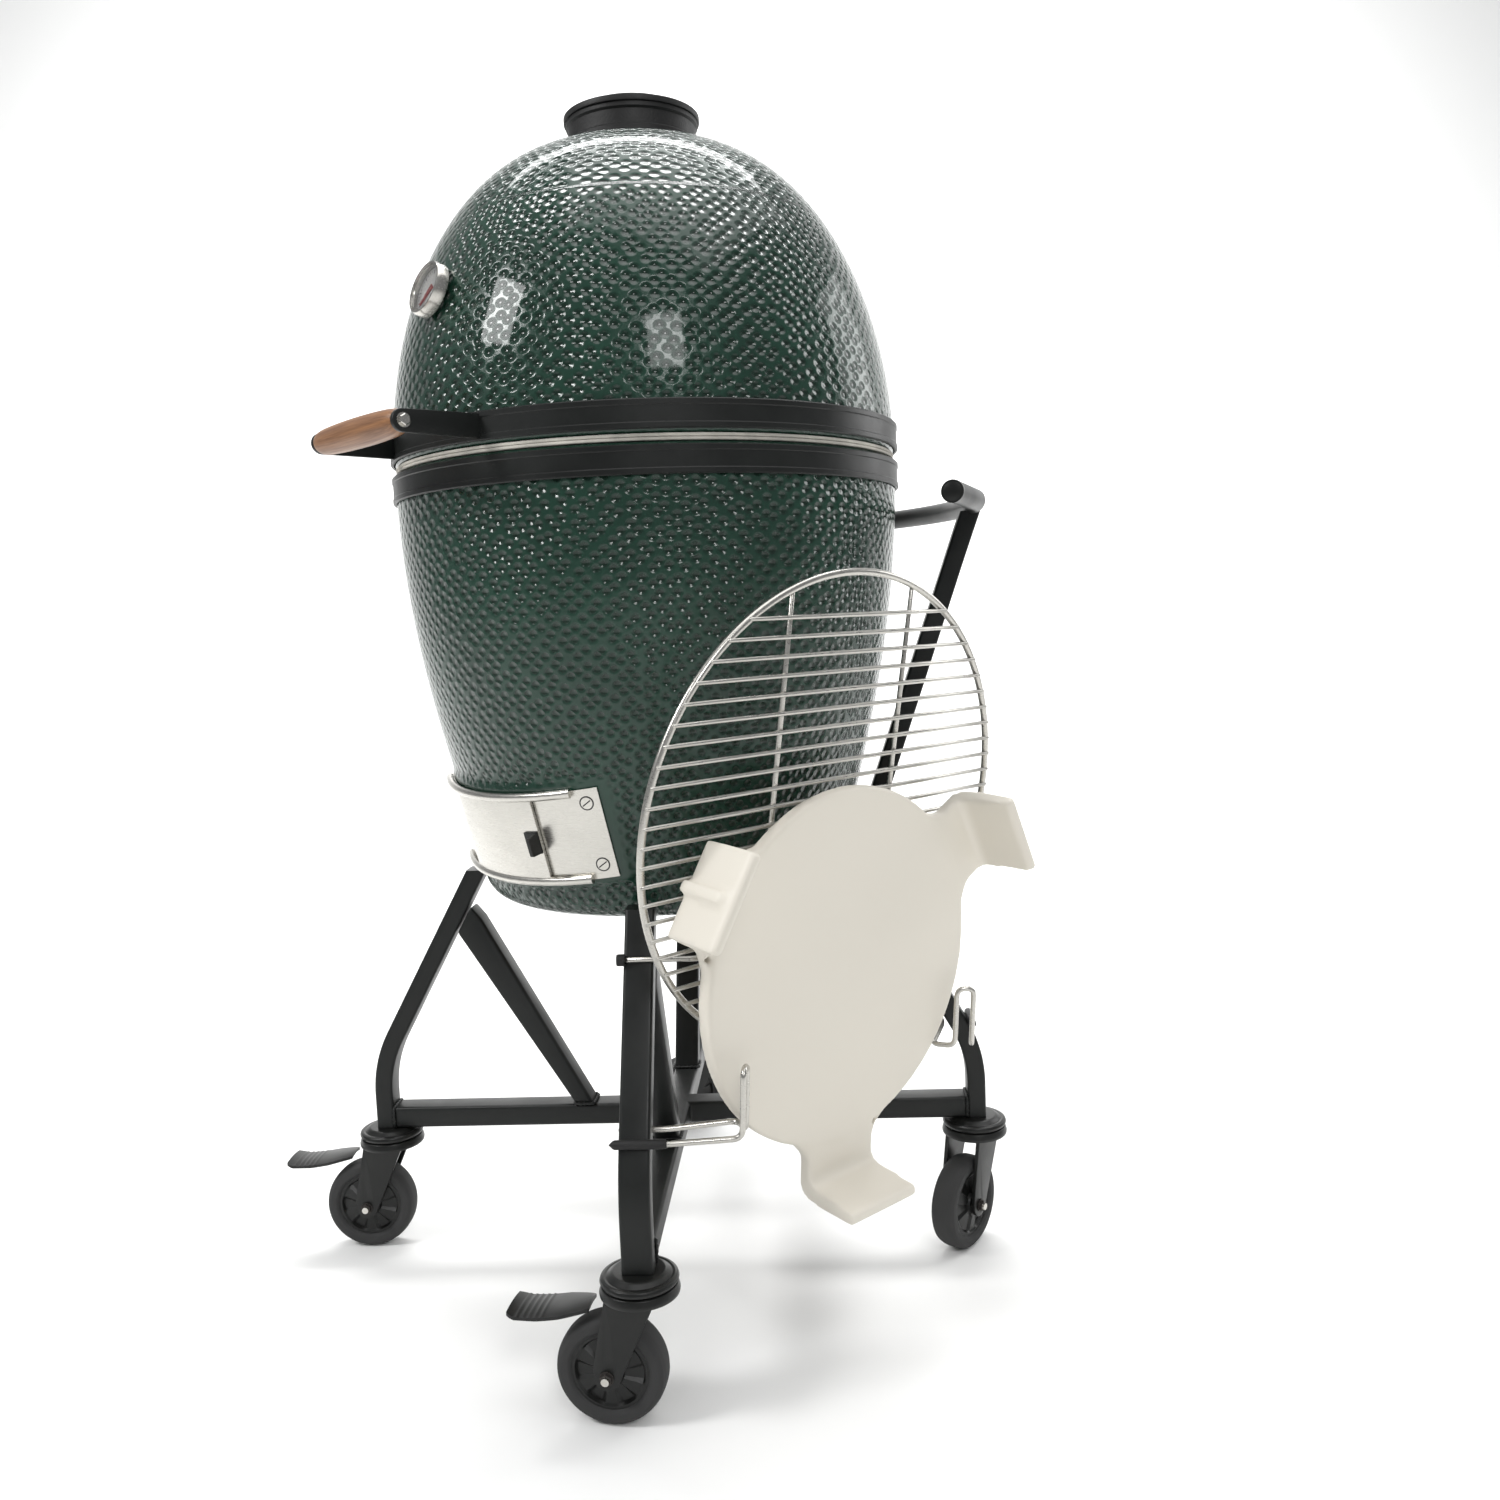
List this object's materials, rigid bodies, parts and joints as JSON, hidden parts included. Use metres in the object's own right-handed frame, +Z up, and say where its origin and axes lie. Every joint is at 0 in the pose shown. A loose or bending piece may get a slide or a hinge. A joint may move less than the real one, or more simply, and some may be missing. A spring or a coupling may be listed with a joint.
{
  "type": "kamado ceramic grill",
  "caption": "Egg-shaped ceramic charcoal grill with a hinged dome, standing in a wheeled steel nest, with a cooking grid and a heat deflector hung on its side.",
  "frame": {"origin": "on the floor under the ceramic's axis", "axes": "+Z up; -Y towards the draft door and lid grip (front); +X towards the side with the hanging grid and deflector"},
  "size_m": [0.6854, 0.6935, 1.2398],
  "materials": {
    "glaze": "glossy dimpled dark green glaze",
    "fireclay": "unglazed beige fireclay",
    "powder_coat": "black satin powder coat",
    "stainless": "brushed stainless steel",
    "cast_iron": "black painted cast iron",
    "tread_rubber": "matt black rubber",
    "nylon": "black moulded nylon",
    "felt": "pressed felt",
    "wood": "oiled hardwood"
  },
  "bodies": {
    "nest": {"base_shell": "glaze", "firebox": "fireclay", "fire_ring": "fireclay", "base_band": "powder_coat", "hinge_bracket": "powder_coat", "cross_rails": "powder_coat", "handle_post_right": "powder_coat", "handle_post_left": "powder_coat", "push_handle": "powder_coat", "hinge_pin": "stainless", "hinge_spring": "stainless", "draft_frame": "stainless", "plate_hook_front": "stainless", "plate_hook_rear": "stainless", "grid_hook_front": "stainless", "grid_hook_rear": "stainless", "fire_grate": "cast_iron", "base_gasket": "felt", "leg_front_left": "powder_coat", "brace_front_left": "powder_coat", "caster_head_front_left": "nylon", "leg_front_right": "powder_coat", "brace_front_right": "powder_coat", "caster_head_front_right": "nylon", "leg_rear_right": "powder_coat", "brace_rear_right": "powder_coat", "caster_head_rear_right": "nylon", "leg_rear_left": "powder_coat", "brace_rear_left": "powder_coat", "caster_head_rear_left": "nylon"},
    "dome": {"dome_shell": "glaze", "dome_gasket": "felt", "dome_band": "powder_coat", "hinge_arm": "powder_coat", "lid_grip": "wood", "thermometer_case": "stainless", "vent_collar": "cast_iron"},
    "gauge_needle": {"thermometer_needle": "cast_iron"},
    "vent_cap_body": {"vent_cap": "cast_iron"},
    "vent_dial_body": {"vent_dial": "cast_iron"},
    "draft_door_body": {"draft_door": "stainless", "draft_tab": "nylon"},
    "ember_screen_body": {"ember_screen": "stainless"},
    "cooking_grid_body": {"cooking_grid": "stainless"},
    "spare_grid_body": {"spare_grid": "stainless"},
    "deflector_body": {"heat_deflector": "fireclay"},
    "caster_front_left": {"caster_fork_front_left": "nylon", "caster_axle_front_left": "stainless"},
    "wheel_front_left": {"caster_wheel_front_left": "tread_rubber"},
    "caster_front_right": {"caster_fork_front_right": "nylon", "caster_axle_front_right": "stainless"},
    "wheel_front_right": {"caster_wheel_front_right": "tread_rubber"},
    "caster_rear_right": {"caster_fork_rear_right": "nylon", "caster_axle_rear_right": "stainless"},
    "wheel_rear_right": {"caster_wheel_rear_right": "tread_rubber"},
    "caster_rear_left": {"caster_fork_rear_left": "nylon", "caster_axle_rear_left": "stainless"},
    "wheel_rear_left": {"caster_wheel_rear_left": "tread_rubber"},
    "pedal_front_left": {"brake_pedal_front_left": "nylon"},
    "pedal_front_right": {"brake_pedal_front_right": "nylon"}
  },
  "joints": [
    {"name": "dome_hinge", "type": "hinge", "parent": "nest", "child": "dome", "pos_m": [0, 0.3013, 0.86145], "axis": [-1, 0, 0], "range_deg": [0, 72]},
    {"name": "needle_turn", "type": "hinge", "parent": "dome", "child": "gauge_needle", "pos_m": [0, -0.23859, 1.01325], "axis": [0, 0.9478, -0.319], "range_deg": [0, 265]},
    {"name": "vent_cap_swing", "type": "hinge", "parent": "dome", "child": "vent_cap_body", "pos_m": [0, 0.0613, 1.2165], "axis": [0, 0, 1], "range_deg": [0, 110]},
    {"name": "vent_dial_turn", "type": "hinge", "parent": "vent_cap_body", "child": "vent_dial_body", "pos_m": [0, 0, 1.2228], "axis": [0, 0, 1], "range_deg": [0, 36]},
    {"name": "draft_door_slide", "type": "hinge", "parent": "nest", "child": "draft_door_body", "pos_m": [0, -0.00623, 0.54808], "axis": [0, -0.2402, 0.9707], "range_deg": [-31, 0]},
    {"name": "ember_screen_slide", "type": "hinge", "parent": "nest", "child": "ember_screen_body", "pos_m": [0, -0.00623, 0.54808], "axis": [0, -0.2402, 0.9707], "range_deg": [0, 24]},
    {"name": "cooking_grid_lift", "type": "slide", "parent": "nest", "child": "cooking_grid_body", "axis": [0, 0, 1], "range_m": [0, 0.01]},
    {"name": "spare_grid_lift", "type": "slide", "parent": "nest", "child": "spare_grid_body", "axis": [0.1839, 0, 0.9829], "range_m": [0, 0.04]},
    {"name": "deflector_lift", "type": "slide", "parent": "nest", "child": "deflector_body", "axis": [0.1839, 0, 0.9829], "range_m": [0, 0.05]},
    {"name": "swivel_front_left", "type": "hinge", "parent": "nest", "child": "caster_front_left", "pos_m": [-0.23405, -0.23405, 0.125], "axis": [0, 0, 1], "continuous": true},
    {"name": "spin_front_left", "type": "hinge", "parent": "caster_front_left", "child": "wheel_front_left", "pos_m": [-0.25385, -0.25385, 0.05], "axis": [0.7071, -0.7071, 0], "continuous": true},
    {"name": "swivel_front_right", "type": "hinge", "parent": "nest", "child": "caster_front_right", "pos_m": [0.23405, -0.23405, 0.125], "axis": [0, 0, 1], "continuous": true},
    {"name": "spin_front_right", "type": "hinge", "parent": "caster_front_right", "child": "wheel_front_right", "pos_m": [0.21199, -0.25129, 0.05], "axis": [0.6157, -0.788, 0], "continuous": true},
    {"name": "swivel_rear_right", "type": "hinge", "parent": "nest", "child": "caster_rear_right", "pos_m": [0.23405, 0.23405, 0.125], "axis": [0, 0, 1], "continuous": true},
    {"name": "spin_rear_right", "type": "hinge", "parent": "caster_rear_right", "child": "wheel_rear_right", "pos_m": [0.23843, 0.2064, 0.05], "axis": [0.9877, 0.1564, 0], "continuous": true},
    {"name": "swivel_rear_left", "type": "hinge", "parent": "nest", "child": "caster_rear_left", "pos_m": [-0.23405, 0.23405, 0.125], "axis": [0, 0, 1], "continuous": true},
    {"name": "spin_rear_left", "type": "hinge", "parent": "caster_rear_left", "child": "wheel_rear_left", "pos_m": [-0.24363, 0.20774, 0.05], "axis": [0.9397, -0.342, 0], "continuous": true},
    {"name": "brake_front_left", "type": "hinge", "parent": "caster_front_left", "child": "pedal_front_left", "pos_m": [-0.26799, -0.26799, 0.105], "axis": [0.7071, -0.7071, 0], "range_deg": [0, 10]},
    {"name": "brake_front_right", "type": "hinge", "parent": "caster_front_right", "child": "pedal_front_right", "pos_m": [0.19623, -0.2636, 0.105], "axis": [0.6157, -0.788, 0], "range_deg": [0, 10]}
  ]
}
